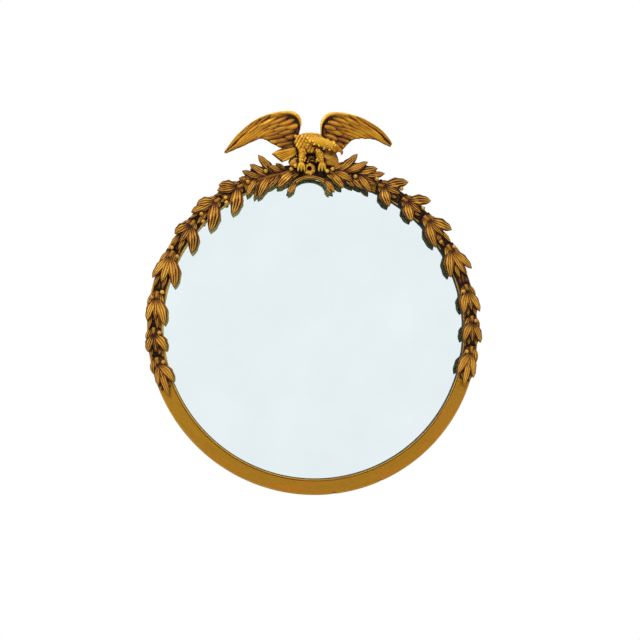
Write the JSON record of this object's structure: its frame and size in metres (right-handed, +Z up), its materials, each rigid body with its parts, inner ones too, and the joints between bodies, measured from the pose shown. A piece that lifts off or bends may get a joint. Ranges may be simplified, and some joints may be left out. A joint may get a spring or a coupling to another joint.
{
  "type": "round eagle-crested wall mirror",
  "caption": "Round flat wall mirror in a gilt wooden ring, with a garland of carved leaves and berries and a spread-winged eagle crest.",
  "frame": {"origin": "on the wall, behind the centre of the ring", "axes": "+Z up, -Y out of the wall towards the viewer, +X to the viewer's right"},
  "size_m": [0.6688, 0.063, 0.7659],
  "materials": {
    "gilt_ring": "oil gilding, burnished",
    "gilt_leaf": "water gilding over red-brown bole, antiqued",
    "gilt_eagle": "water gilding over red-brown bole, antiqued",
    "silvered": "silvered plate glass",
    "board": "raw",
    "brass": "plated",
    "steel": "zinc plated",
    "felt": "felt"
  },
  "bodies": {
    "mirror": {"frame_ring": "gilt_ring", "mirror_plate": "silvered", "backboard": "board", "left_spray_1": "gilt_leaf", "left_spray_2": "gilt_leaf", "left_spray_3": "gilt_leaf", "left_spray_4": "gilt_leaf", "left_spray_5": "gilt_leaf", "left_spray_6": "gilt_leaf", "left_spray_7": "gilt_leaf", "right_spray_1": "gilt_leaf", "right_spray_2": "gilt_leaf", "right_spray_3": "gilt_leaf", "right_spray_4": "gilt_leaf", "right_spray_5": "gilt_leaf", "right_spray_6": "gilt_leaf", "right_spray_7": "gilt_leaf", "crest_block": "gilt_leaf", "crest_arch": "gilt_leaf", "crest_rosette": "gilt_leaf", "crest_leaves_left": "gilt_leaf", "crest_leaves_right": "gilt_leaf", "crest_perch": "gilt_leaf", "eagle_body": "gilt_eagle", "eagle_wing_left": "gilt_eagle", "eagle_wing_right": "gilt_eagle", "eagle_tail": "gilt_eagle", "eagle_leg_left": "gilt_eagle", "eagle_leg_right": "gilt_eagle", "turn_button_screw_1": "steel", "turn_button_screw_2": "steel", "turn_button_screw_3": "steel", "turn_button_screw_4": "steel", "turn_button_screw_5": "steel", "turn_button_screw_6": "steel", "hanger_strap_left": "brass", "hanger_strap_right": "brass", "hanger_screw_left": "steel", "hanger_screw_right": "steel", "wall_bumper_left": "felt", "wall_bumper_right": "felt", "crest_strap": "steel", "crest_strap_screw_1": "steel", "crest_strap_screw_2": "steel"},
    "turn_button_1": {"turn_button_1": "brass"},
    "turn_button_2": {"turn_button_2": "brass"},
    "turn_button_3": {"turn_button_3": "brass"},
    "turn_button_4": {"turn_button_4": "brass"},
    "turn_button_5": {"turn_button_5": "brass"},
    "turn_button_6": {"turn_button_6": "brass"},
    "hanger_ring_left": {"hanger_ring_left": "steel"},
    "hanger_ring_right": {"hanger_ring_right": "steel"}
  },
  "joints": [
    {"name": "turn_button_1_pivot", "type": "hinge", "parent": "mirror", "child": "turn_button_1", "pos_m": [-0.15975, -0.0057, -0.2767], "axis": [0, 1, 0], "range_deg": [-90, 90]},
    {"name": "turn_button_2_pivot", "type": "hinge", "parent": "mirror", "child": "turn_button_2", "pos_m": [-0.3195, -0.0057, 0], "axis": [0, 1, 0], "range_deg": [-90, 90]},
    {"name": "turn_button_3_pivot", "type": "hinge", "parent": "mirror", "child": "turn_button_3", "pos_m": [-0.15975, -0.0057, 0.2767], "axis": [0, 1, 0], "range_deg": [-90, 90]},
    {"name": "turn_button_4_pivot", "type": "hinge", "parent": "mirror", "child": "turn_button_4", "pos_m": [0.15975, -0.0057, 0.2767], "axis": [0, 1, 0], "range_deg": [-90, 90]},
    {"name": "turn_button_5_pivot", "type": "hinge", "parent": "mirror", "child": "turn_button_5", "pos_m": [0.3195, -0.0057, 0], "axis": [0, 1, 0], "range_deg": [-90, 90]},
    {"name": "turn_button_6_pivot", "type": "hinge", "parent": "mirror", "child": "turn_button_6", "pos_m": [0.15975, -0.0057, -0.2767], "axis": [0, 1, 0], "range_deg": [-90, 90]},
    {"name": "hanger_ring_left_hinge", "type": "hinge", "parent": "mirror", "child": "hanger_ring_left", "pos_m": [-0.21192, -0.0038, 0.22592], "axis": [0, 0, 1], "range_deg": [-5, 155]},
    {"name": "hanger_ring_right_hinge", "type": "hinge", "parent": "mirror", "child": "hanger_ring_right", "pos_m": [0.21192, -0.0038, 0.22592], "axis": [0, 0, -1], "range_deg": [-5, 155]}
  ]
}
